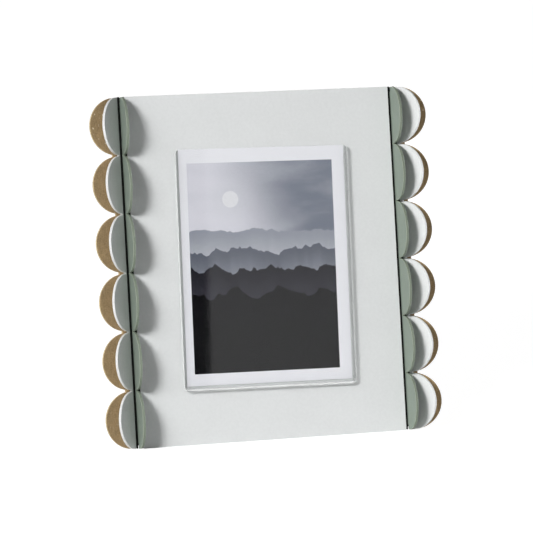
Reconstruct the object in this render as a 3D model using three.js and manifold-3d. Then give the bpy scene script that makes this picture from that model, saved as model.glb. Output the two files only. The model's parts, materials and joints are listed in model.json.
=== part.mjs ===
import * as THREE from 'three';
import { mergeVertices } from 'three/addons/utils/BufferGeometryUtils.js';
import Module from 'manifold-3d';

const wasm = await Module();
wasm.setup();

// Photo holder that leans back on an easel leg. Sizes are in millimetres.
// It is drawn with the board upright and leaned back at the end.
// In the drawing x runs to the right, y from the front to the back and z up.
// y = 0 is the front face of the board, z = 0 its bottom front edge.

// Board
const boardWidth = 207.1;
const boardHeight = 266.8;
const boardThickness = 4;
const leanDeg = 14;

// Clearances
const seatGap = 0.3;
const endInset = 4;

// Scalloped pages
const scallopCount = 6;
const scallopGap = 0.8;
const pageThickness = 2;
const greenReach = 24.4;
const greenTongue = 7.6;
const fanAxisOut = 0.2;
const fanAxisY = 1.75;
const fanReach = 23.8;
const whiteAngleDeg = 52.2;
const brownAngleDeg = 14.7;
const whiteNotchReach = 3.2;
const brownNotchReach = 6.3;
const brownRoot = 3.5;

// Black grip channels
const channelWall = 1.2;
const channelLipY = 0.2;

// Spine posts
const postBoardLap = 7.8;
const postPageLap = 6.3;
const postBackWall = 2.6;
const postBackOut = 3.2;

// Print
const printWidth = 130;
const printHeight = 180;
const printThickness = 0.4;

// Clear pocket
const plateThickness = 3;
const plateCorner = 4;
const plateAbovePrint = 0.3;
const pocketOffsetX = -1.5;
const pocketOffsetZ = -1.25;
const pocketTurnDeg = 0.85;
const stripThickness = 1.2;
const sideStripWidth = 2.2;
const bottomStripHeight = 3.3;

// Easel leg
const pinHeight = 178;
const legFoldGap = 2.2;
const legThickness = 8;
const legTopWidth = 30;
const legFootWidth = 52;
const legNeck = 22;
const legOpenDeg = 30;
const padThickness = 1.5;

// Leg brackets and pin
const bracketThickness = 1.2;
const bracketHeight = 26;
const bracketFlange = 13;
const bracketBend = 0.8;
const earRadius = 6;
const earArcDeg = 63;
const earRoot = 0.2;
const pinRadius = 1.5;
const pinHeadRadius = 2.6;
const pinHeadThickness = 1;
const pinBevelAcross = 0.8;
const pinBevelDeep = 0.4;

// Bracket screws
const screwRadius = 1.1;
const screwLength = 4.2;
const screwTipRadius = 0.55;
const screwTipBlunt = 0.3;
const screwTipLength = 1.1;
const screwHeadRadius = 2.3;
const screwHeadHeight = 1.3;
const screwRimHeight = 0.6;
const screwPitch = 15;
const screwCrossLength = 2.5;
const screwCrossWidth = 0.5;
const screwCrossDepth = 0.7;

// Steps round a curve
const scallopSteps = 20;
const cornerSteps = 8;
const earSteps = 14;
const bendSteps = 6;
const pinSides = 32;
const screwSides = 24;
const screwDomeSteps = 3;

// Cutters reach this far past what they cut, and points this close are one
const cutPast = 1;
const nearby = 0.001;

// Derived sizes
const rad = Math.PI / 180;
const quarter = Math.PI / 2;
const lean = leanDeg * rad;
const floorSlope = Math.tan(lean);
const scallopPitch = boardHeight / scallopCount;
const scallopRadius = (scallopPitch - scallopGap) / 2;
const halfPage = pageThickness / 2;
const channelHalf = halfPage + seatGap + channelWall;
const channelBackY = greenTongue + seatGap + channelWall;
const boardHalfWidth = boardWidth / 2;
const greenPageX = boardHalfWidth + seatGap + channelHalf;
const fanAxisX = greenPageX + channelHalf + fanAxisOut;
const whiteAngle = whiteAngleDeg * rad;
const brownAngle = brownAngleDeg * rad;
const postFrontY = boardThickness + seatGap;
const postGrooveY = channelBackY + seatGap;
const postBackY = postGrooveY + postBackWall;
const pocketWidth = printWidth + 2 * (seatGap + sideStripWidth);
const pocketHeight = bottomStripHeight + seatGap + printHeight + plateAbovePrint;
const pocketCentreZ = boardHeight / 2 + pocketOffsetZ;
const pinY = boardThickness + legFoldGap + legThickness / 2;
const legOpen = legOpenDeg * rad;
const earInnerX = legTopWidth / 2 + seatGap;
const bracketFront = boardThickness + seatGap;
const bracketBack = bracketFront + bracketThickness;
const flangeEndX = earInnerX + bracketThickness + bracketBend + bracketFlange;
const screwSeatY = bracketBack + seatGap;

// Shapes and solids

function shapeOf(points) {
  const shape = new THREE.Shape();
  shape.moveTo(points[0][0], points[0][1]);
  for (const point of points.slice(1)) {
    shape.lineTo(point[0], point[1]);
  }
  shape.closePath();
  return shape;
}

function extruded(points, depth) {
  return new THREE.ExtrudeGeometry(shapeOf(points), { depth, bevelEnabled: false });
}

function arcPoints(cx, cy, radius, from, to, steps) {
  const points = [];
  for (let i = 0; i <= steps; i += 1) {
    const angle = from + ((to - from) * i) / steps;
    points.push([cx + radius * Math.cos(angle), cy + radius * Math.sin(angle)]);
  }
  return points;
}

// Prism standing on the xy plane between two heights
function upright(points, bottom, top) {
  const geometry = extruded(points, top - bottom);
  geometry.translate(0, 0, bottom);
  return geometry;
}

// Plate drawn as x and z seen from the front, between two depths
function facing(points, front, back) {
  const geometry = extruded(points, back - front);
  geometry.rotateX(Math.PI / 2);
  geometry.translate(0, back, 0);
  return geometry;
}

// Plate drawn as y and z seen from the side, between two x values
function sideways(points, left, right) {
  const geometry = extruded(points, right - left);
  const axes = new THREE.Matrix4().makeBasis(
    new THREE.Vector3(0, 1, 0),
    new THREE.Vector3(0, 0, 1),
    new THREE.Vector3(1, 0, 0),
  );
  geometry.applyMatrix4(axes);
  geometry.translate(left, 0, 0);
  return geometry;
}

function mirrored(points, side) {
  return points.map((point) => [side * point[0], point[1]]);
}

function movePoints(geometry, change) {
  const position = geometry.attributes.position;
  const point = new THREE.Vector3();
  for (let i = 0; i < position.count; i += 1) {
    point.fromBufferAttribute(position, i);
    change(point);
    position.setXYZ(i, point.x, point.y, point.z);
  }
  geometry.computeVertexNormals();
  return geometry;
}

// Bottom end cut along the shelf the holder leans on
function bevelBottom(geometry, gap) {
  return movePoints(geometry, (point) => {
    if (point.z < scallopRadius) {
      point.z = Math.max(point.y, 0) * floorSlope + gap;
    }
  });
}

// Booleans

function toSolid(geometry) {
  const bare = geometry.clone();
  bare.deleteAttribute('normal');
  bare.deleteAttribute('uv');
  const merged = mergeVertices(bare, 1e-4);
  const index = merged.index.array;
  const triangles = [];
  for (let i = 0; i < index.length; i += 3) {
    const a = index[i];
    const b = index[i + 1];
    const c = index[i + 2];
    if (a !== b && b !== c && c !== a) {
      triangles.push(a, b, c);
    }
  }
  const mesh = new wasm.Mesh({
    numProp: 3,
    vertProperties: new Float32Array(merged.attributes.position.array),
    triVerts: new Uint32Array(triangles),
  });
  return new wasm.Manifold(mesh);
}

function toGeometry(solid) {
  const mesh = solid.getMesh();
  const geometry = new THREE.BufferGeometry();
  geometry.setAttribute('position', new THREE.BufferAttribute(mesh.vertProperties, 3));
  geometry.setIndex(new THREE.BufferAttribute(mesh.triVerts, 1));
  const flat = geometry.toNonIndexed();
  flat.computeVertexNormals();
  return flat;
}

function cutAway(geometry, tools) {
  let solid = toSolid(geometry);
  for (const tool of tools) {
    solid = solid.subtract(toSolid(tool));
  }
  return toGeometry(solid);
}

// Rod along y
function rodY(radius, x, z, from, to) {
  const geometry = new THREE.CylinderGeometry(radius, radius, to - from, screwSides);
  geometry.translate(x, (from + to) / 2, z);
  return geometry;
}

// Rod along x
function rodX(radius, y, z, from, to) {
  const geometry = new THREE.CylinderGeometry(radius, radius, to - from, pinSides);
  geometry.rotateZ(quarter);
  geometry.translate((from + to) / 2, y, z);
  return geometry;
}

// Turned piece about the y axis, given as radius and y
function turned(points, sides) {
  const profile = points.map((point) => new THREE.Vector2(point[0], point[1]));
  return new THREE.LatheGeometry(profile, sides);
}

// Row of scallops as reach from the hinge line and height, with a notch between neighbours
function scallops(reach, notchReach) {
  const centre = reach - scallopRadius;
  const spread = Math.acos(Math.max(0, (notchReach - centre) / scallopRadius));
  const half = scallopRadius * Math.sin(spread);
  const straight = notchReach < centre - nearby;
  const points = [];
  for (let i = 0; i < scallopCount; i += 1) {
    const middle = (i + 0.5) * scallopPitch;
    const arc = arcPoints(centre, middle, scallopRadius, -spread, spread, scallopSteps);
    const from = straight ? [[notchReach, middle - half]] : [];
    const to = straight ? [[notchReach, middle + half]] : [];
    points.push(...from, ...arc, ...to);
  }
  return points;
}

// Page of the fan, cut square from its root to the first and last scallop
function fanOutline(root, notchReach) {
  const row = scallops(fanReach, notchReach);
  const low = row[0][1];
  return [[root, low], ...row, [root, boardHeight - low]];
}

// Page standing out from an upright line at an angle to the board, kept above the shelf
function page(side, lineX, lineY, angle, outline, slant) {
  const geometry = extruded(outline, pageThickness);
  geometry.translate(0, 0, -halfPage);
  const root = outline[0][0];
  movePoints(geometry, (point) => {
    if (Math.abs(point.x - root) < nearby) {
      point.x += side * slant * point.z;
    }
  });
  const outward = new THREE.Vector3(side * Math.cos(angle), -Math.sin(angle), 0);
  const up = new THREE.Vector3(0, 0, 1);
  const across = new THREE.Vector3().crossVectors(outward, up);
  geometry.applyMatrix4(new THREE.Matrix4().makeBasis(outward, up, across));
  geometry.translate(side * lineX, lineY, 0);
  return movePoints(geometry, (point) => {
    point.z = Math.max(point.z, point.y * floorSlope);
  });
}

// Green page square to the board, its tongue held in the black channel
function greenPage(side) {
  const outline = [
    [-greenTongue, endInset],
    [0, endInset],
    ...scallops(greenReach, 0),
    [0, boardHeight - endInset],
    [-greenTongue, boardHeight - endInset],
  ];
  return page(side, greenPageX, 0, quarter, outline, 0);
}

// White page half turned forward, its root mitred along the black channel
function whitePage(side) {
  const faceX = greenPageX + channelHalf + seatGap;
  const root = (faceX - fanAxisX) / Math.cos(whiteAngle);
  const outline = fanOutline(root, whiteNotchReach);
  return page(side, fanAxisX, fanAxisY, whiteAngle, outline, Math.tan(whiteAngle));
}

// Brown page nearly in line with the board, its root in the notch of the post
function brownPage(side) {
  const outline = fanOutline(brownRoot, brownNotchReach);
  return page(side, fanAxisX, fanAxisY, brownAngle, outline, 0);
}

// U section of soft black plastic that grips the tongue of the green page
function gripChannel(side) {
  const slot = halfPage + seatGap;
  const slotFloor = greenTongue + seatGap;
  const points = [
    [greenPageX - channelHalf, channelLipY],
    [greenPageX - slot, channelLipY],
    [greenPageX - slot, slotFloor],
    [greenPageX + slot, slotFloor],
    [greenPageX + slot, channelLipY],
    [greenPageX + channelHalf, channelLipY],
    [greenPageX + channelHalf, channelBackY],
    [greenPageX - channelHalf, channelBackY],
  ];
  return bevelBottom(upright(mirrored(points, side), 0, boardHeight), seatGap);
}

// Point of the fan given along a page and square to it, towards the back
function fanPoint(angle, along, behind) {
  const x = fanAxisX + along * Math.cos(angle) + behind * Math.sin(angle);
  const y = fanAxisY - along * Math.sin(angle) + behind * Math.cos(angle);
  return [x, y];
}

// Where the back of the white page meets the line at the root of the brown page
function wedgeTip(back, rootAlong) {
  const between = whiteAngle - brownAngle;
  const front = (rootAlong * Math.sin(between) - back) / Math.cos(between);
  return fanPoint(brownAngle, rootAlong, -front);
}

// Post behind the edge of the board with a seat for each page of the fan
function spinePost(side) {
  const back = halfPage + seatGap;
  const innerX = boardHalfWidth - postBoardLap;
  const grooveOuterX = greenPageX + channelHalf + seatGap;
  const along = (grooveOuterX - fanAxisX - back * Math.sin(whiteAngle)) / Math.cos(whiteAngle);
  const points = [
    [innerX, postFrontY],
    [boardHalfWidth, postFrontY],
    [boardHalfWidth, postGrooveY],
    [grooveOuterX, postGrooveY],
    fanPoint(whiteAngle, along, back),
    wedgeTip(back, brownRoot - seatGap),
    fanPoint(brownAngle, brownRoot - seatGap, back),
    fanPoint(brownAngle, postPageLap, back),
    [fanAxisX + postBackOut, postBackY],
    [innerX, postBackY],
  ];
  return upright(mirrored(points, side), endInset, boardHeight - endInset);
}

// Pale board with a bevelled bottom edge and blind holes for the bracket screws
function frontBoard() {
  const points = [
    [-boardHalfWidth, 0],
    [boardHalfWidth, 0],
    [boardHalfWidth, boardThickness],
    [-boardHalfWidth, boardThickness],
  ];
  const slab = bevelBottom(upright(points, 0, boardHeight), 0);
  const holeEnd = screwSeatY - screwLength - seatGap;
  const holes = [];
  for (const spot of screwSpots()) {
    holes.push(rodY(screwRadius + seatGap, spot.x, spot.z, holeEnd, boardThickness + cutPast));
  }
  return cutAway(slab, holes);
}

// Clear pocket, drawn about its own centre as seen from the front

// Front plate with rounded corners
function pocketPlate() {
  const back = -seatGap - stripThickness - seatGap;
  const x = pocketWidth / 2 - plateCorner;
  const z = pocketHeight / 2 - plateCorner;
  const points = [
    ...arcPoints(x, z, plateCorner, 0, quarter, cornerSteps),
    ...arcPoints(-x, z, plateCorner, quarter, 2 * quarter, cornerSteps),
    ...arcPoints(-x, -z, plateCorner, 2 * quarter, 3 * quarter, cornerSteps),
    ...arcPoints(x, -z, plateCorner, 3 * quarter, 4 * quarter, cornerSteps),
  ];
  return facing(points, back - plateThickness, back);
}

// Strip under the print, rounded with the bottom corners of the plate
function bottomStrip() {
  const x = pocketWidth / 2 - plateCorner;
  const bottom = -pocketHeight / 2;
  const top = bottom + bottomStripHeight;
  const centreZ = bottom + plateCorner;
  const cut = Math.asin(Math.max(0, 1 - bottomStripHeight / plateCorner));
  const shoulders = [
    [pocketWidth / 2, top],
    [-pocketWidth / 2, top],
  ];
  const points = [
    ...(cut > 0 ? [] : shoulders),
    ...arcPoints(-x, centreZ, plateCorner, 2 * quarter + cut, 3 * quarter, cornerSteps),
    ...arcPoints(x, centreZ, plateCorner, 3 * quarter, 4 * quarter - cut, cornerSteps),
  ];
  return facing(points, -seatGap - stripThickness, -seatGap);
}

// Strip beside the print, rounded with the top corner of the plate
function sideStrip(side) {
  const outer = pocketWidth / 2;
  const inner = outer - sideStripWidth;
  const bottom = -pocketHeight / 2 + bottomStripHeight + seatGap;
  const centreX = outer - plateCorner;
  const centreZ = pocketHeight / 2 - plateCorner;
  const stop = Math.acos((inner - centreX) / plateCorner);
  const points = [
    [inner, bottom],
    [outer, bottom],
    ...arcPoints(centreX, centreZ, plateCorner, 0, stop, cornerSteps),
  ];
  return facing(mirrored(points, side), -seatGap - stripThickness, -seatGap);
}

// Photo paper standing on the bottom strip between the side strips
function photoPrint() {
  const bottom = -pocketHeight / 2 + bottomStripHeight + seatGap;
  const points = [
    [-printWidth / 2, bottom],
    [printWidth / 2, bottom],
    [printWidth / 2, bottom + printHeight],
    [-printWidth / 2, bottom + printHeight],
  ];
  return facing(points, -seatGap - printThickness, -seatGap);
}

// The pocket is glued on a little off square
function onPocket(geometry) {
  geometry.rotateY(pocketTurnDeg * rad);
  geometry.translate(pocketOffsetX, 0, pocketCentreZ);
  return geometry;
}

// Easel leg and its hinge

// The four bracket screws, two in each flange
function screwSpots() {
  const flangeMiddle = flangeEndX - bracketFlange / 2;
  const spots = [];
  for (const side of [-1, 1]) {
    for (const level of [-1, 1]) {
      spots.push({ x: side * flangeMiddle, z: pinHeight + (level * screwPitch) / 2 });
    }
  }
  return spots;
}

// Steel angle: flange on the back of the board, ear round the pin
function legBracket(side) {
  const outerBend = bracketBend + bracketThickness;
  const bendX = earInnerX + outerBend;
  const bendY = bracketFront + outerBend;
  const earEnd = pinY + earRadius + cutPast;
  const section = [
    [flangeEndX, bracketFront],
    [flangeEndX, bracketBack],
    ...arcPoints(bendX, bendY, bracketBend, 3 * quarter, 2 * quarter, bendSteps),
    [earInnerX + bracketThickness, earEnd],
    [earInnerX, earEnd],
    ...arcPoints(bendX, bendY, outerBend, 2 * quarter, 3 * quarter, bendSteps),
  ];
  const half = bracketHeight / 2;
  const bar = toSolid(upright(mirrored(section, side), pinHeight - half, pinHeight + half));
  const earArc = earArcDeg * rad;
  const profile = [
    [bracketFront - cutPast, pinHeight - half],
    [bracketBack + earRoot, pinHeight - half],
    ...arcPoints(pinY, pinHeight, earRadius, -earArc, earArc, earSteps),
    [bracketBack + earRoot, pinHeight + half],
    [bracketFront - cutPast, pinHeight + half],
  ];
  const reach = flangeEndX + cutPast;
  const kept = bar.intersect(toSolid(sideways(profile, -reach, reach)));
  let solid = kept.subtract(toSolid(rodX(pinRadius + seatGap, pinY, pinHeight, -reach, reach)));
  for (const spot of screwSpots()) {
    solid = solid.subtract(toSolid(rodY(screwRadius + seatGap, spot.x, spot.z, 0, earEnd)));
  }
  return toGeometry(solid);
}

// Pin through both ears and the leg, with a riveted head at each end
function legPin() {
  const shank = earInnerX + bracketThickness + seatGap;
  const end = shank + pinHeadThickness;
  const points = [
    [0, -end],
    [pinHeadRadius - pinBevelAcross, -end],
    [pinHeadRadius, -end + pinBevelDeep],
    [pinHeadRadius, -shank],
    [pinRadius, -shank],
    [pinRadius, shank],
    [pinHeadRadius, shank],
    [pinHeadRadius, end - pinBevelDeep],
    [pinHeadRadius - pinBevelAcross, end],
    [0, end],
  ];
  const geometry = turned(points, pinSides);
  geometry.rotateZ(quarter);
  geometry.translate(0, pinY, pinHeight);
  return geometry;
}

// Domed head screw with a cross recess
function bracketScrew(spot) {
  const tip = screwSeatY - screwLength;
  const top = screwSeatY + screwHeadHeight;
  const rim = screwSeatY + screwRimHeight;
  const points = [
    [0, tip],
    [screwTipRadius, tip + screwTipBlunt],
    [screwRadius, tip + screwTipLength],
    [screwRadius, screwSeatY],
    [screwHeadRadius, screwSeatY],
  ];
  for (const [across, rise] of arcPoints(0, 0, 1, 0, quarter, screwDomeSteps)) {
    const last = rise > 1 - nearby;
    points.push([last ? 0 : screwHeadRadius * across, rim + (top - rim) * rise]);
  }
  const body = turned(points, screwSides);
  body.translate(spot.x, 0, spot.z);
  const deep = screwCrossDepth * 2;
  const upArm = new THREE.BoxGeometry(screwCrossWidth, deep, screwCrossLength);
  const acrossArm = new THREE.BoxGeometry(screwCrossLength, deep, screwCrossWidth);
  upArm.translate(spot.x, top, spot.z);
  acrossArm.translate(spot.x, top, spot.z);
  return cutAway(body, [upArm, acrossArm]);
}

// The leg is drawn hanging straight down from the pin and then swung open

function swungOpen(geometry) {
  geometry.rotateX(legOpen);
  geometry.translate(0, pinY, pinHeight);
  return geometry;
}

// Distance from the pin down the leg to the shelf, for a depth within the leg
function legToShelf(depth) {
  const drop = pinHeight - pinY * floorSlope;
  const turn = depth * (Math.sin(legOpen) - Math.cos(legOpen) * floorSlope);
  return (drop + turn) / (Math.cos(legOpen) + Math.sin(legOpen) * floorSlope);
}

// Wooden leg that butts on the back of the board when it is open
function easelLeg() {
  const halfThickness = legThickness / 2;
  const stopRoom = pinY - halfThickness * Math.cos(legOpen) - boardThickness - seatGap;
  const above = stopRoom / Math.sin(legOpen);
  const bottom = -legToShelf(0);
  const top = legTopWidth / 2;
  const foot = legFootWidth / 2;
  const points = [
    [-top, above],
    [-top, -legNeck],
    [-foot, bottom],
    [foot, bottom],
    [top, -legNeck],
    [top, above],
  ];
  const plank = facing(points, -halfThickness, halfThickness);
  const lift = (padThickness + seatGap) / Math.cos(legOpen - lean);
  movePoints(plank, (point) => {
    if (Math.abs(point.z - bottom) < nearby) {
      point.z = lift - legToShelf(point.y);
    }
  });
  const hole = rodX(pinRadius + seatGap, 0, 0, -legTopWidth, legTopWidth);
  return swungOpen(cutAway(plank, [hole]));
}

// Rubber pad glued under the foot of the leg
function footPad() {
  const foot = legFootWidth / 2;
  const lift = padThickness / Math.cos(legOpen - lean);
  const points = [
    [-foot, 0],
    [foot, 0],
    [foot, lift],
    [-foot, lift],
  ];
  const pad = facing(points, -legThickness / 2, legThickness / 2);
  movePoints(pad, (point) => {
    point.z -= legToShelf(point.y);
  });
  return swungOpen(pad);
}

// Materials
function finish(color, roughness, metalness) {
  return new THREE.MeshStandardMaterial({ color, roughness, metalness });
}

const holder = new THREE.Group();
holder.name = 'photo_holder';

function add(name, geometry, material) {
  geometry.rotateX(-lean);
  const mesh = new THREE.Mesh(geometry, material);
  mesh.name = name;
  holder.add(mesh);
}

add('front_board', frontBoard(), finish(0xd9dcda, 0.75, 0));

for (const [label, side] of [['left', -1], ['right', 1]]) {
  add(`${label}_page_green`, greenPage(side), finish(0x84927f, 0.8, 0));
  add(`${label}_page_white`, whitePage(side), finish(0xe8eae9, 0.75, 0));
  add(`${label}_page_brown`, brownPage(side), finish(0x957f5d, 0.9, 0));
  add(`${label}_grip_channel`, gripChannel(side), finish(0x151716, 0.6, 0));
  add(`${label}_spine_post`, spinePost(side), finish(0x9c8563, 0.85, 0));
  add(`pocket_strip_${label}`, onPocket(sideStrip(side)), finish(0xe4ecea, 0.08, 0));
  add(`leg_bracket_${label}`, legBracket(side), finish(0x9a9c9e, 0.35, 1));
}

add('pocket_strip_bottom', onPocket(bottomStrip()), finish(0xe4ecea, 0.08, 0));
add('pocket_front_plate', onPocket(pocketPlate()), finish(0xe4ecea, 0.05, 0));
add('photo_print', onPocket(photoPrint()), finish(0xc9c9cb, 0.4, 0));
add('easel_leg', easelLeg(), finish(0xa58d69, 0.85, 0));
add('leg_foot_pad', footPad(), finish(0x1d1e1f, 0.9, 0));
add('leg_pin', legPin(), finish(0xa8aaac, 0.3, 1));

screwSpots().forEach((spot, number) => {
  add(`bracket_screw_${number + 1}`, bracketScrew(spot), finish(0xb4b2aa, 0.3, 1));
});

// The origin is the middle of the footprint, on the shelf
const bounds = new THREE.Box3().setFromObject(holder);
const middle = bounds.getCenter(new THREE.Vector3());
for (const mesh of holder.children) {
  mesh.geometry.translate(-middle.x, -middle.y, -bounds.min.z);
}

export default holder;
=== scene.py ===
"""Looks of the photo holder: the camera, a plain studio and a procedural finish for each piece."""

import json
import math

import bpy
from mathutils import Matrix, Quaternion, Vector


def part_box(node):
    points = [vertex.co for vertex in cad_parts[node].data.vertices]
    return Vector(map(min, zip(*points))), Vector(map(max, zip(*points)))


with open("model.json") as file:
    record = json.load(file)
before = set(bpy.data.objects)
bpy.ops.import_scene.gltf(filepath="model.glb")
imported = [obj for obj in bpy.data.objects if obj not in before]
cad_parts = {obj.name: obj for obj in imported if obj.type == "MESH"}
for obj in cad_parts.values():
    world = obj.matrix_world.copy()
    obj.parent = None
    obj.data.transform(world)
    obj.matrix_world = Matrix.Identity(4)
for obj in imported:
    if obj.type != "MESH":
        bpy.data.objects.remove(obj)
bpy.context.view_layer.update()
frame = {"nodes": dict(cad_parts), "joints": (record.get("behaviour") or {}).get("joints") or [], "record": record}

MM = 0.001
NODES = frame["nodes"]

# Directions of the board and of the pocket, read from the frame
print_lift = next(joint for joint in frame["joints"] if joint["name"] == "print_lift")
POCKET_UP = Vector(print_lift["axis"]).normalized()
LEAN = math.atan2(POCKET_UP.y, POCKET_UP.z)
RIGHT = Vector((1, 0, 0))
UP = Vector((0, math.sin(LEAN), math.cos(LEAN)))
FRONT = Vector((0, -math.cos(LEAN), math.sin(LEAN)))
board_low, board_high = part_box("front_board")
BOARD_HEIGHT = board_high.z / math.cos(LEAN)
BOARD_CENTRE = Vector((0, board_low.y, 0)) + UP * (BOARD_HEIGHT / 2)

# The fibreboard is chipped mostly at the top scallop of the pages
CHIPS_FADE_FROM = BOARD_HEIGHT - 55 * MM
CHIPS_FULL_FROM = BOARD_HEIGHT - 40 * MM

# The pocket is turned a little on the board
POCKET_RIGHT = POCKET_UP.cross(FRONT)
PLATE_WIDTH = 135.0 * MM
PLATE_HEIGHT = 183.9 * MM
plate_low, plate_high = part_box("pocket_front_plate")
PLATE_CENTRE = (plate_low + plate_high) / 2
PLATE_FOOT = PLATE_CENTRE.dot(POCKET_UP) - PLATE_HEIGHT / 2

# Painted shade greys the plate over its side strips, from the first of these distances off its middle
SHADED_MARGIN_FROM = PLATE_WIDTH / 2 - 2.6 * MM
SHADED_MARGIN_FULL_FROM = PLATE_WIDTH / 2 - 1.8 * MM

# Camera, by its turn from the line square to the board
CAMERA_LEFT = math.radians(13.283)
CAMERA_RISE = math.radians(0.199)
CAMERA_ROLL = math.radians(3.187)
CAMERA_DISTANCE = 1.939
SENSOR_WIDTH = 36.0
LENS = 170.96
IMAGE_WIDTH = 533
SHIFT_RIGHT_PX = -0.56
SHIFT_UP_PX = -1.11

# Studio lamps: degrees to the left, degrees up and width in degrees, seen from the board, and strength
LAMP_DISTANCE = 1.65
LAMPS = (
    ("key", 39.4, 17.8, 12.0, 2.2),
    ("side", 48.5, 20.0, 15.0, 0.68),
    ("wide", 66.0, 21.0, 40.0, 0.27),
    ("fill", -35.0, 12.0, 47.4, 0.3),
    ("rim", -88.5, 0.0, 3.0, 2.2),
    ("back", 150.0, 18.0, 20.0, 0.9),
)

# The fill lamp is a square window, turned so that its edge is mirrored upright in the clear plate
WINDOW_TURN = math.radians(-15.3)

# Strengths of the world: on matt surfaces, and where gloss and glass mirror its front and its back
AMBIENT = 0.02
MIRRORED_FRONT = 0.02
MIRRORED_BACK = 1.0
MIRRORED_BLEND = 0.3

FLOOR_HALF = 12.0
FLOOR_ALBEDO = 0.9
FLOOR_GLOW = 1.27
FLOOR_GLOW_SHARE = 0.75

# Picture on the print, in millimetres, its middle seen from the middle of the board
ART_WIDTH = 114.1
ART_HEIGHT = 160.4
ART_RIGHT = -3.13
ART_UP = -0.45

# Moon, in millimetres from the middle of the picture
MOON_RIGHT = -24.0
MOON_UP = 52.0
MOON_RADIUS = 6.3
MOON_HALO = 24.0

# Ridges: height of the crest, swing, length of a wave, seed, colours of crest and foot, depth of mist
RIDGES = (
    (27, 20, 34, 1.7, (150, 154, 165), (188, 190, 198), 26),
    (13, 26, 27, 5.2, (96, 100, 112), (140, 144, 154), 26),
    (-2, 24, 22, 9.4, (30, 29, 37), (54, 53, 62), 26),
    (-20, 22, 19, 14.8, (6, 5, 9), (13, 12, 18), 30),
)

# Wood in front of the hills, in millimetres
TREES_PER_MM = 0.42
TREE_HEIGHT = 11.0
WOOD_BASE = -62.0
WOOD_SWING = 34.0


def on_board(right, up, out):
    """A direction given along the board, up the board and out of its front."""
    return RIGHT * right + UP * up + FRONT * out


def srgb(red, green, blue):
    """A colour given as it shows on a screen, from 0 to 255."""
    linear = []
    for value in (red, green, blue):
        share = value / 255
        linear.append(share / 12.92 if share <= 0.04045 else ((share + 0.055) / 1.055) ** 2.4)
    return (*linear, 1.0)


class Finish:
    """A material, with short ways to add the nodes that shade it."""

    def __init__(self, name, across=FRONT, **constants):
        self.material = bpy.data.materials.new(name)
        self.material.use_nodes = True
        self.tree = self.material.node_tree
        self.tree.nodes.clear()
        self.surface = self.add("ShaderNodeBsdfPrincipled", **constants)
        self.output = self.add("ShaderNodeOutputMaterial", Surface=self.surface.outputs[0])
        where = self.add("ShaderNodeTexCoord")
        self.place = where.outputs["Object"]
        self.normal = where.outputs["Normal"]
        self.flatness = self.math("ABSOLUTE", self.dot(self.normal, across))

    def feed(self, socket, value):
        if isinstance(value, bpy.types.NodeSocket):
            self.tree.links.new(value, socket)
        elif socket.type == "VECTOR":
            socket.default_value = tuple(value)[:3]
        else:
            socket.default_value = value

    def add(self, kind, settings=None, **inputs):
        node = self.tree.nodes.new(kind)
        for name, value in (settings or {}).items():
            setattr(node, name, value)
        for name, value in inputs.items():
            self.feed(node.inputs[name.replace("_", " ")], value)
        return node

    def math(self, operation, *values, clamp=False):
        node = self.add("ShaderNodeMath", {"operation": operation, "use_clamp": clamp})
        for socket, value in zip(node.inputs, values):
            self.feed(socket, value)
        return node.outputs[0]

    def dot(self, vector, direction):
        node = self.add("ShaderNodeVectorMath", {"operation": "DOT_PRODUCT"})
        self.feed(node.inputs[0], vector)
        self.feed(node.inputs[1], direction)
        return node.outputs["Value"]

    def offset(self, centre, direction):
        """Millimetres along a direction, counted from a point."""
        along = self.dot(self.place, direction / MM)
        return self.math("SUBTRACT", along, centre.dot(direction) / MM)

    def within(self, value, width):
        """1 in a band of that width round 0 and 0 outside it, with a soft edge of 0.16."""
        off = self.math("ABSOLUTE", value)
        return self.spread(off, width / 2 - 0.08, width / 2 + 0.08, 1.0, 0.0)

    def spread(self, value, low, high, to_low=0.0, to_high=1.0):
        """Maps a range of value to another one, smoothly, and holds it there."""
        node = self.add(
            "ShaderNodeMapRange",
            {"interpolation_type": "SMOOTHSTEP"},
            Value=value,
            From_Min=low,
            From_Max=high,
            To_Min=to_low,
            To_Max=to_high,
        )
        return node.outputs["Result"]

    def mix(self, factor, first, second):
        node = self.add("ShaderNodeMix", {"data_type": "RGBA"})
        self.feed(node.inputs[0], factor)
        self.feed(node.inputs[6], first)
        self.feed(node.inputs[7], second)
        return node.outputs[2]

    def noise(self, size, stretch=(1, 1, 1), detail=2.0, seed=0.0):
        """Noise with grains of that size in millimetres, stretched along the board's axes."""
        place = self.add(
            "ShaderNodeMapping",
            {"vector_type": "TEXTURE"},
            Vector=self.place,
            Rotation=(-LEAN, 0, 0),
            Scale=[size * MM * share for share in stretch],
        )
        node = self.add(
            "ShaderNodeTexNoise",
            {"noise_dimensions": "4D"},
            Vector=place.outputs[0],
            W=seed,
            Scale=1.0,
            Detail=detail,
        )
        return node.outputs[0]

    def shift(self, colour, noise, amount):
        """Makes a colour lighter and darker with a noise, by up to that share."""
        gain = self.spread(noise, 0.25, 0.75, 1 - amount, 1 + amount)
        node = self.add("ShaderNodeVectorMath", {"operation": "SCALE"})
        self.feed(node.inputs[0], colour)
        self.feed(node.inputs["Scale"], gain)
        return node.outputs[0]

    def relief(self, height, depth):
        """Raises the surface by a height of 0 to 1 times the depth in millimetres."""
        node = self.add("ShaderNodeBump", Height=height, Strength=1.0, Distance=depth * MM)
        self.feed(self.surface.inputs["Normal"], node.outputs[0])

    def wear(self, colour, roughness):
        self.feed(self.surface.inputs["Base Color"], colour)
        self.feed(self.surface.inputs["Roughness"], roughness)


# Finishes

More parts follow.
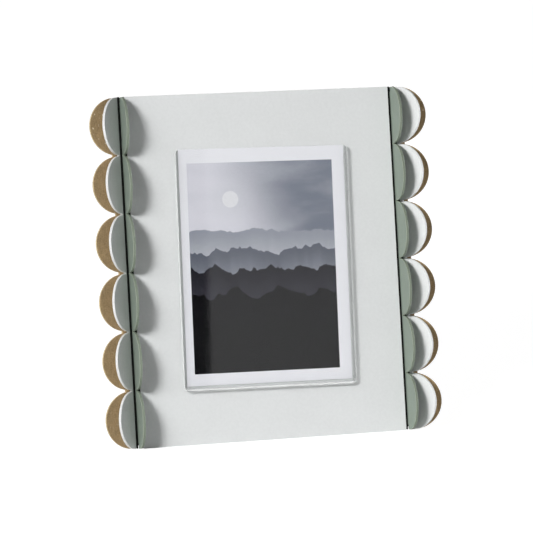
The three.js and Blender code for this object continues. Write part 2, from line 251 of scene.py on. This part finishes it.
def board_paint(across):
    """Matt off-white paint, rolled on, a little drier on the cut edges."""
    f = Finish("board_paint", across)
    peel = f.noise(0.9, detail=3.0)
    patches = f.noise(38, detail=2.0, seed=3.0)
    grains = f.noise(2.2, detail=4.0, seed=5.0)
    edge = f.spread(f.flatness, 0.6, 0.98, 1.0, 0.0)
    colour = f.mix(edge, srgb(221, 223, 223), srgb(212, 212, 206))
    colour = f.shift(f.shift(colour, patches, 0.012), grains, 0.02)
    f.wear(colour, f.spread(grains, 0.3, 0.7, 0.62, 0.78))
    f.relief(f.math("MULTIPLY_ADD", peel, 0.6, f.math("MULTIPLY", grains, 0.4)), 0.05)
    return f.material


def painted_page(name, across, face, rim, arris):
    """Brushed matt paint on a thin page, with its own tone on the sawn rim and a painted highlight on the arris.
    """
    f = Finish(name, across)
    strokes = f.noise(1.1, stretch=(1, 1, 34), detail=3.0)
    grains = f.noise(1.6, detail=4.0, seed=7.0)
    patches = f.noise(24, detail=2.0, seed=11.0)
    sawn = f.noise(0.8, stretch=(1, 6, 1), detail=2.0, seed=13.0)
    on_rim = f.spread(f.flatness, 0.25, 0.45, 1.0, 0.0)
    on_face = f.spread(f.flatness, 0.9, 0.985)
    # Painted highlight: the arris gets a lighter colour, as where it catches the lamps
    arris_highlight = f.math("SUBTRACT", f.math("SUBTRACT", 1.0, on_rim), on_face, clamp=True)
    colour = f.mix(on_rim, f.shift(face, strokes, 0.03), f.shift(rim, sawn, 0.09))
    colour = f.mix(arris_highlight, f.shift(colour, patches, 0.02), arris)
    colour = f.shift(colour, grains, 0.025)
    f.wear(colour, f.spread(strokes, 0.3, 0.7, 0.6, 0.78))
    f.relief(f.math("MULTIPLY_ADD", strokes, 0.6, f.math("MULTIPLY", grains, 0.5)), 0.05)
    return f.material


def white_page(across):
    return painted_page(
        "white_page", across, srgb(226, 227, 227), srgb(222, 223, 222), srgb(230, 231, 230)
    )


def green_page(across):
    return painted_page(
        "green_page", across, srgb(130, 141, 130), srgb(124, 134, 120), srgb(166, 178, 157)
    )


def fibreboard(name, across, face, rim):
    """Bare fibreboard: short fibres and dark flecks, a paler sawn rim, pale chips near the top."""
    f = Finish(name, across, Specular_IOR_Level=0.25)
    across_fibres = f.noise(0.5, stretch=(9, 1, 1), detail=2.0)
    upright_fibres = f.noise(0.5, stretch=(1, 1, 9), detail=2.0, seed=2.0)
    flecks = f.noise(0.9, detail=4.0, seed=4.0)
    clouds = f.noise(7.0, detail=3.0, seed=6.0)
    on_rim = f.spread(f.flatness, 0.3, 0.8, 1.0, 0.0)
    chips = f.noise(1.7, stretch=(1, 1, 1.6), detail=1.0, seed=8.0)
    dark = f.spread(flecks, 0.62, 0.78)
    chipped = f.spread(f.dot(f.place, UP), CHIPS_FADE_FROM, CHIPS_FULL_FROM, 0.1, 0.8)
    pale = f.math("MULTIPLY", f.spread(chips, 0.65, 0.7), chipped)
    colour = f.mix(on_rim, face, rim)
    colour = f.shift(f.shift(colour, across_fibres, 0.09), upright_fibres, 0.13)
    colour = f.shift(f.shift(colour, clouds, 0.09), flecks, 0.16)
    colour = f.mix(f.math("MULTIPLY", dark, 0.5), colour, srgb(92, 70, 46))
    colour = f.mix(pale, colour, srgb(232, 220, 192))
    f.wear(colour, 0.9)
    f.relief(f.math("ADD", across_fibres, f.math("ADD", upright_fibres, flecks)), 0.06)
    return f.material


def brown_page(across):
    return fibreboard("brown_page", across, srgb(154, 132, 98), srgb(202, 183, 146))


def post_wood(across):
    return fibreboard("post_wood", across, srgb(168, 146, 110), srgb(178, 156, 120))


def leg_wood(across):
    return fibreboard("leg_wood", across, srgb(170, 147, 110), srgb(146, 122, 86))


def black_channel(across):
    """Extruded soft black plastic with faint draw lines and a little dust."""
    f = Finish("black_channel", across, Specular_IOR_Level=0.15)
    lines = f.noise(0.35, stretch=(1, 1, 160), detail=2.0)
    dust = f.noise(0.8, detail=5.0, seed=3.0)
    colour = f.mix(f.spread(dust, 0.6, 0.8, 0.0, 0.2), srgb(7, 8, 7), srgb(52, 54, 51))
    f.wear(f.shift(colour, lines, 0.15), f.spread(lines, 0.3, 0.7, 0.42, 0.6))
    f.relief(lines, 0.02)
    return f.material


def clear_acrylic(across):
    """Clear acrylic with frosted cut edges, painted shade on the margin at the sides and a painted glint line near
    the foot.
    """
    f = Finish("clear_acrylic", across, IOR=1.49)
    smudges = f.noise(14, detail=4.0)
    hairlines = f.noise(0.25, stretch=(1, 1, 60), detail=1.0, seed=2.0)
    on_face = f.spread(f.flatness, 0.5, 0.9)
    aside = f.math("SUBTRACT", f.dot(f.place, POCKET_RIGHT), PLATE_CENTRE.dot(POCKET_RIGHT))
    # Painted shade: the margins over the side strips are greyer, and they pass less light to the print and board
    # behind them
    shaded_margin = f.spread(f.math("ABSOLUTE", aside), SHADED_MARGIN_FROM, SHADED_MARGIN_FULL_FROM)
    face = f.mix(shaded_margin, srgb(253, 254, 254), srgb(241, 242, 242))
    # Painted glint: a band 0.1 to 1.5 mm above the foot of the plate lets less light through, so it shows as a
    # bright line
    level = f.math("SUBTRACT", f.dot(f.place, POCKET_UP), PLATE_FOOT)
    line = f.math(
        "MULTIPLY",
        f.spread(level, 0.1 * MM, 0.3 * MM),
        f.spread(level, 1.1 * MM, 1.5 * MM, 1.0, 0.0),
    )
    f.wear(
        f.mix(on_face, srgb(248, 250, 250), face),
        f.spread(smudges, 0.45, 0.75, 0.012, 0.05),
    )
    clear = f.math("MULTIPLY_ADD", line, -0.4, f.spread(on_face, 0.0, 0.8, 0.1, 1.0))
    f.feed(f.surface.inputs["Transmission Weight"], f.math("MAXIMUM", clear, 0.1))
    f.relief(hairlines, 0.0006)
    # Painted shade for shadow rays: they pass the wide faces and the left and top cut edges almost freely, and are
    # dimmed at the right and bottom cut edges, a shadow set for lamps at the upper left
    inside = f.add("ShaderNodeNewGeometry").outputs["Backfacing"]
    outward = f.math("MULTIPLY_ADD", inside, -2.0, 1.0)
    to_right = f.spread(f.math("MULTIPLY", f.dot(f.normal, RIGHT), outward), 0.2, 0.8)
    to_foot = f.spread(f.math("MULTIPLY", f.dot(f.normal, UP), outward), -0.8, -0.2, 1.0, 0.0)
    on_edge = f.mix(to_right, srgb(255, 255, 255), srgb(177, 178, 178))
    on_edge = f.mix(to_foot, on_edge, srgb(140, 141, 141))
    through = f.mix(shaded_margin, srgb(252, 252, 252), srgb(235, 235, 235))
    passed = f.mix(on_face, on_edge, through)
    veil = f.add("ShaderNodeBsdfTransparent", Color=passed)
    path = f.add("ShaderNodeLightPath")
    plain = f.math("MAXIMUM", path.outputs["Is Shadow Ray"], path.outputs["Is Diffuse Ray"])
    shader = f.add("ShaderNodeMixShader")
    f.feed(shader.inputs[0], plain)
    f.feed(shader.inputs[1], f.surface.outputs[0])
    f.feed(shader.inputs[2], veil.outputs[0])
    f.feed(f.output.inputs["Surface"], shader.outputs[0])
    return f.material


def ridge(f, canvas, along, height, crest, swing, length, seed, top, foot, mist):
    """Lays a ridge of hills on the canvas, darkest at its crest and misty at its foot."""
    wave = f.add(
        "ShaderNodeTexNoise",
        {"noise_dimensions": "1D"},
        W=f.math("MULTIPLY_ADD", along, 1 / length, seed),
        Scale=1.0,
        Detail=6.0,
        Roughness=0.55,
    )
    line = f.math("MULTIPLY_ADD", wave.outputs[0], swing, crest - swing / 2)
    below = f.math("SUBTRACT", line, height)
    tone = f.mix(f.spread(below, 0.0, mist), srgb(*top), srgb(*foot))
    return f.mix(f.spread(below, -0.25, 0.25), canvas, tone)


def picture(f):
    """A grey landscape of misty hills and a pale moon, with a dark wood in front."""
    centre = BOARD_CENTRE + on_board(ART_RIGHT, ART_UP, 0) * MM
    along = f.offset(centre, POCKET_RIGHT)
    height = f.offset(centre, POCKET_UP)
    cloud = f.noise(30, stretch=(2.6, 1, 0.8), detail=5.0, seed=21.0)
    slant = f.math("MULTIPLY_ADD", height, 0.35, along)
    sky = f.mix(f.spread(slant, -18, 52), srgb(222, 221, 230), srgb(118, 124, 138))
    sky = f.mix(f.spread(cloud, 0.42, 0.68, 0.0, 0.4), sky, srgb(196, 198, 207))
    moon_x = f.math("SUBTRACT", along, MOON_RIGHT)
    moon_z = f.math("SUBTRACT", height, MOON_UP)
    squares = f.math("MULTIPLY_ADD", moon_x, moon_x, f.math("MULTIPLY", moon_z, moon_z))
    radius = f.math("SQRT", squares)
    halo = f.spread(radius, MOON_RADIUS + 0.7, MOON_HALO, 0.35, 0.0)
    sky = f.mix(halo, sky, srgb(205, 207, 214))
    moon = f.spread(radius, MOON_RADIUS - 0.3, MOON_RADIUS + 0.3, 0.9, 0.0)
    canvas = f.mix(moon, sky, srgb(232, 232, 236))
    for row in RIDGES:
        canvas = ridge(f, canvas, along, height, *row)
    tree = f.add(
        "ShaderNodeTexVoronoi",
        {"voronoi_dimensions": "1D"},
        W=f.math("MULTIPLY", along, TREES_PER_MM),
        Scale=1.0,
    )
    needles = f.noise(0.9, stretch=(1, 1, 0.5), detail=3.0, seed=31.0)
    point = f.spread(tree.outputs["Distance"], 0.0, 0.62, TREE_HEIGHT, 0.0)
    ground = f.add(
        "ShaderNodeTexNoise",
        {"noise_dimensions": "1D"},
        W=f.math("MULTIPLY", along, 0.06),
        Scale=1.0,
        Detail=3.0,
    )
    crown = f.math("MULTIPLY_ADD", ground.outputs[0], WOOD_SWING, WOOD_BASE)
    crown = f.math("ADD", crown, f.math("MULTIPLY", point, f.math("ADD", needles, 0.4)))
    wood = f.math("SUBTRACT", crown, height)
    canvas = f.mix(f.spread(wood, -0.3, 0.3), canvas, srgb(8, 8, 11))
    grain = f.noise(0.45, detail=2.0, seed=41.0)
    canvas = f.shift(canvas, grain, 0.07)
    return canvas, f.math("MULTIPLY", f.within(along, ART_WIDTH), f.within(height, ART_HEIGHT))


def photo_paper(across):
    """Semi-gloss photo paper with a white border round a grey landscape."""
    f = Finish("photo_paper", across, Specular_IOR_Level=0.2)
    canvas, inside = picture(f)
    pulp = f.noise(0.5, detail=3.0, seed=51.0)
    paper = f.shift(srgb(241, 241, 246), pulp, 0.008)
    before = f.spread(f.dot(f.normal, FRONT), 0.5, 0.9)
    colour = f.mix(f.math("MULTIPLY", inside, before), paper, canvas)
    f.wear(colour, f.spread(pulp, 0.3, 0.7, 0.22, 0.32))
    f.relief(pulp, 0.004)
    return f.material


def pad_rubber(across):
    """Moulded black rubber with a fine grain and some shelf dust."""
    f = Finish("pad_rubber", across, Specular_IOR_Level=0.3)
    grain = f.noise(0.4, detail=3.0)
    dust = f.noise(1.8, detail=4.0, seed=2.0)
    colour = f.mix(f.spread(dust, 0.52, 0.75, 0.0, 0.35), srgb(26, 26, 27), srgb(96, 94, 90))
    f.wear(colour, f.spread(grain, 0.3, 0.7, 0.75, 0.95))
    f.relief(grain, 0.08)
    return f.material


def bracket_steel(across):
    """Zinc plated steel: rolled lines, cloudy plating and a faint yellow pass."""
    f = Finish("bracket_steel", across, Metallic=1.0)
    rolled = f.noise(0.3, stretch=(24, 1, 1), detail=2.0)
    clouds = f.noise(5.0, detail=4.0, seed=2.0)
    pits = f.noise(0.6, detail=4.0, seed=4.0)
    colour = f.mix(f.spread(clouds, 0.35, 0.7), srgb(188, 190, 193), srgb(196, 190, 172))
    colour = f.shift(f.shift(colour, rolled, 0.05), pits, 0.08)
    f.wear(colour, f.spread(clouds, 0.3, 0.7, 0.28, 0.46))
    f.relief(f.math("ADD", rolled, pits), 0.012)
    return f.material


FINISHES = {
    "board_paint": board_paint,
    "white_page": white_page,
    "green_page": green_page,
    "brown_page": brown_page,
    "black_channel": black_channel,
    "post_wood": post_wood,
    "clear_acrylic": clear_acrylic,
    "photo_paper": photo_paper,
    "leg_wood": leg_wood,
    "pad_rubber": pad_rubber,
    "bracket_steel": bracket_steel,
}

# Width of the rounded arris on each finish, in millimetres
ARRIS = {
    "board_paint": 0.9,
    "white_page": 0.3,
    "green_page": 0.3,
    "brown_page": 0.18,
    "black_channel": 0.2,
    "post_wood": 0.25,
    "clear_acrylic": 0.25,
    "leg_wood": 0.4,
    "pad_rubber": 0.3,
    "bracket_steel": 0.1,
}

# Points nearer than this become one, and so do faces that meet flatter than this
WELD_BELOW = 0.002 * MM
FLAT_BELOW = math.radians(0.5)

# Edges sharper than these get an arris, and stay sharp in the shading
ARRIS_ABOVE = math.radians(35)
SHARP_ABOVE = math.radians(50)


def smooth_group():
    """Geometry nodes that shade a mesh smooth between its arrises."""
    group = bpy.data.node_groups.new("smooth_between_arrises", "GeometryNodeTree")
    group.interface.new_socket("Geometry", in_out="INPUT", socket_type="NodeSocketGeometry")
    group.interface.new_socket("Geometry", in_out="OUTPUT", socket_type="NodeSocketGeometry")
    start = group.nodes.new("NodeGroupInput")
    end = group.nodes.new("NodeGroupOutput")
    faces = group.nodes.new("GeometryNodeSetShadeSmooth")
    edges = group.nodes.new("GeometryNodeSetShadeSmooth")
    edges.domain = "EDGE"
    edges.inputs["Shade Smooth"].default_value = False
    angle = group.nodes.new("GeometryNodeInputMeshEdgeAngle")
    sharp = group.nodes.new("FunctionNodeCompare")
    sharp.operation = "GREATER_THAN"
    sharp.inputs[1].default_value = SHARP_ABOVE
    group.links.new(start.outputs[0], faces.inputs["Geometry"])
    group.links.new(faces.outputs[0], edges.inputs["Geometry"])
    group.links.new(angle.outputs[0], sharp.inputs[0])
    group.links.new(sharp.outputs[0], edges.inputs["Selection"])
    group.links.new(edges.outputs[0], end.inputs[0])
    return group


def main_direction(node):
    """The direction square to the largest face of a node."""
    return max(node.data.polygons, key=lambda face: face.area).normal.copy()


def round_off(node, width, group):
    """Small rounded arrises, the way sanded, moulded and polished edges catch light."""
    weld = node.modifiers.new("weld", "WELD")
    weld.merge_threshold = WELD_BELOW
    flat = node.modifiers.new("flat_faces", "DECIMATE")
    flat.decimate_type = "DISSOLVE"
    flat.angle_limit = FLAT_BELOW
    if width:
        bevel = node.modifiers.new("arris", "BEVEL")
        bevel.width = width * MM
        bevel.segments = 2
        bevel.limit_method = "ANGLE"
        bevel.angle_limit = ARRIS_ABOVE
    smooth = node.modifiers.new("smooth", "NODES")
    smooth.node_group = group
    level = node.modifiers.new("level_faces", "WEIGHTED_NORMAL")
    level.keep_sharp = True


def dress():
    """Gives each piece of the frame its finish and its arrises."""
    group = smooth_group()
    for row in frame["record"]["subparts"]:
        node, slot = NODES[row["node"]], row["material_slot"]
        material = FINISHES[slot](main_direction(node))
        for place in node.material_slots:
            place.material = material
        round_off(node, ARRIS.get(slot), group)


# Studio

def make_camera():
    """A long lens at the viewing angle of the photograph."""
    data = bpy.data.cameras.new("camera")
    data.lens = LENS
    data.sensor_width = SENSOR_WIDTH
    data.shift_x = SHIFT_RIGHT_PX / IMAGE_WIDTH
    data.shift_y = SHIFT_UP_PX / IMAGE_WIDTH
    camera = bpy.data.objects.new("camera", data)
    bpy.context.scene.collection.objects.link(camera)
    level = math.cos(CAMERA_RISE)
    ahead = on_board(
        math.sin(CAMERA_LEFT) * level, math.sin(CAMERA_RISE), -math.cos(CAMERA_LEFT) * level
    )
    right = on_board(math.cos(CAMERA_LEFT), 0, math.sin(CAMERA_LEFT))
    up = right.cross(ahead)
    rolled_right = right * math.cos(CAMERA_ROLL) - up * math.sin(CAMERA_ROLL)
    rolled_up = right * math.sin(CAMERA_ROLL) + up * math.cos(CAMERA_ROLL)
    turn = Matrix((rolled_right, rolled_up, -ahead)).transposed()
    place = BOARD_CENTRE - ahead * CAMERA_DISTANCE
    camera.matrix_world = Matrix.Translation(place) @ turn.to_4x4()
    bpy.context.scene.camera = camera


def make_lamps():
    """Soft lamps, each as strong at the far side of the object as at the near one."""
    for name, *angles, strength in LAMPS:
        left, rise, width = (math.radians(angle) for angle in angles)
        data = bpy.data.lights.new(name, "AREA")
        data.shape = "SQUARE" if name == "fill" else "DISK"
        data.size = 2 * LAMP_DISTANCE * math.tan(width / 2)
        data.energy = strength * math.pi
        data.use_nodes = True
        nodes = data.node_tree.nodes
        even = nodes.new("ShaderNodeLightFalloff")
        even.inputs["Strength"].default_value = 1.0
        data.node_tree.links.new(even.outputs["Constant"], nodes["Emission"].inputs["Strength"])
        lamp = bpy.data.objects.new(name, data)
        bpy.context.scene.collection.objects.link(lamp)
        level = math.cos(rise)
        away = on_board(-math.sin(left) * level, math.sin(rise), math.cos(left) * level)
        lamp.location = BOARD_CENTRE + away * LAMP_DISTANCE
        turn = (-away).to_track_quat("-Z", "Y")
        if name == "fill":
            turn = turn @ Quaternion((0, 0, 1), WINDOW_TURN)
        lamp.rotation_euler = turn.to_euler()


def make_world():
    """Even soft light, with a white backdrop behind the object and a dimmer room in front."""
    world = bpy.data.worlds.new("studio")
    bpy.context.scene.world = world
    world.use_nodes = True
    tree = world.node_tree
    tree.nodes.clear()
    path = tree.nodes.new("ShaderNodeLightPath")
    where = tree.nodes.new("ShaderNodeTexCoord")
    split = tree.nodes.new("ShaderNodeSeparateXYZ")
    behind = tree.nodes.new("ShaderNodeMapRange")
    behind.inputs["From Min"].default_value = -MIRRORED_BLEND
    behind.inputs["From Max"].default_value = MIRRORED_BLEND
    behind.inputs["To Min"].default_value = MIRRORED_FRONT
    behind.inputs["To Max"].default_value = MIRRORED_BACK
    mirrored = tree.nodes.new("ShaderNodeMath")
    mirrored.operation = "MAXIMUM"
    ambient = tree.nodes.new("ShaderNodeBackground")
    ambient.inputs["Color"].default_value = (0.97, 0.99, 1.0, 1.0)
    ambient.inputs["Strength"].default_value = AMBIENT
    room = tree.nodes.new("ShaderNodeBackground")
    white = tree.nodes.new("ShaderNodeBackground")
    for shader in (room, white):
        shader.inputs["Color"].default_value = (1.0, 1.0, 1.0, 1.0)
    white.inputs["Strength"].default_value = 1.0
    in_glass = tree.nodes.new("ShaderNodeMixShader")
    in_view = tree.nodes.new("ShaderNodeMixShader")
    output = tree.nodes.new("ShaderNodeOutputWorld")
    links = (
        (where.outputs["Generated"], split.inputs[0]),
        (split.outputs["Y"], behind.inputs["Value"]),
        (behind.outputs[0], room.inputs["Strength"]),
        (path.outputs["Is Glossy Ray"], mirrored.inputs[0]),
        (path.outputs["Is Transmission Ray"], mirrored.inputs[1]),
        (mirrored.outputs[0], in_glass.inputs[0]),
        (ambient.outputs[0], in_glass.inputs[1]),
        (room.outputs[0], in_glass.inputs[2]),
        (path.outputs["Is Camera Ray"], in_view.inputs[0]),
        (in_glass.outputs[0], in_view.inputs[1]),
        (white.outputs[0], in_view.inputs[2]),
        (in_view.outputs[0], output.inputs["Surface"]),
    )
    for source, target in links:
        tree.links.new(source, target)


def make_floor():
    """Pale floor that shows white in the picture and keeps the shadow of the object."""
    f = Finish("floor_white", Roughness=1.0, Specular_IOR_Level=0.0)
    fine = f.noise(3.0, detail=2.0)
    white = (FLOOR_ALBEDO, FLOOR_ALBEDO, FLOOR_ALBEDO, 1.0)
    f.feed(f.surface.inputs["Base Color"], f.shift(white, fine, 0.005))
    glow = f.add("ShaderNodeEmission", Color=(1.0, 1.0, 1.0, 1.0), Strength=FLOOR_GLOW)
    path = f.add("ShaderNodeLightPath")
    seen = f.math("MAXIMUM", path.outputs["Is Camera Ray"], path.outputs["Is Glossy Ray"])
    seen = f.math("MAXIMUM", seen, path.outputs["Is Transmission Ray"])
    shader = f.add("ShaderNodeMixShader")
    f.feed(shader.inputs[0], f.math("MULTIPLY", seen, FLOOR_GLOW_SHARE))
    f.feed(shader.inputs[1], f.surface.outputs[0])
    f.feed(shader.inputs[2], glow.outputs[0])
    f.feed(f.output.inputs["Surface"], shader.outputs[0])
    corners = [(x * FLOOR_HALF, y * FLOOR_HALF, 0) for x, y in ((-1, -1), (1, -1), (1, 1), (-1, 1))]
    mesh = bpy.data.meshes.new("floor")
    mesh.from_pydata(corners, [], [(0, 1, 2, 3)])
    mesh.materials.append(f.material)
    floor = bpy.data.objects.new("floor", mesh)
    bpy.context.scene.collection.objects.link(floor)


bpy.context.scene.view_settings.view_transform = "Standard"
make_camera()
make_lamps()
make_world()
make_floor()
dress()
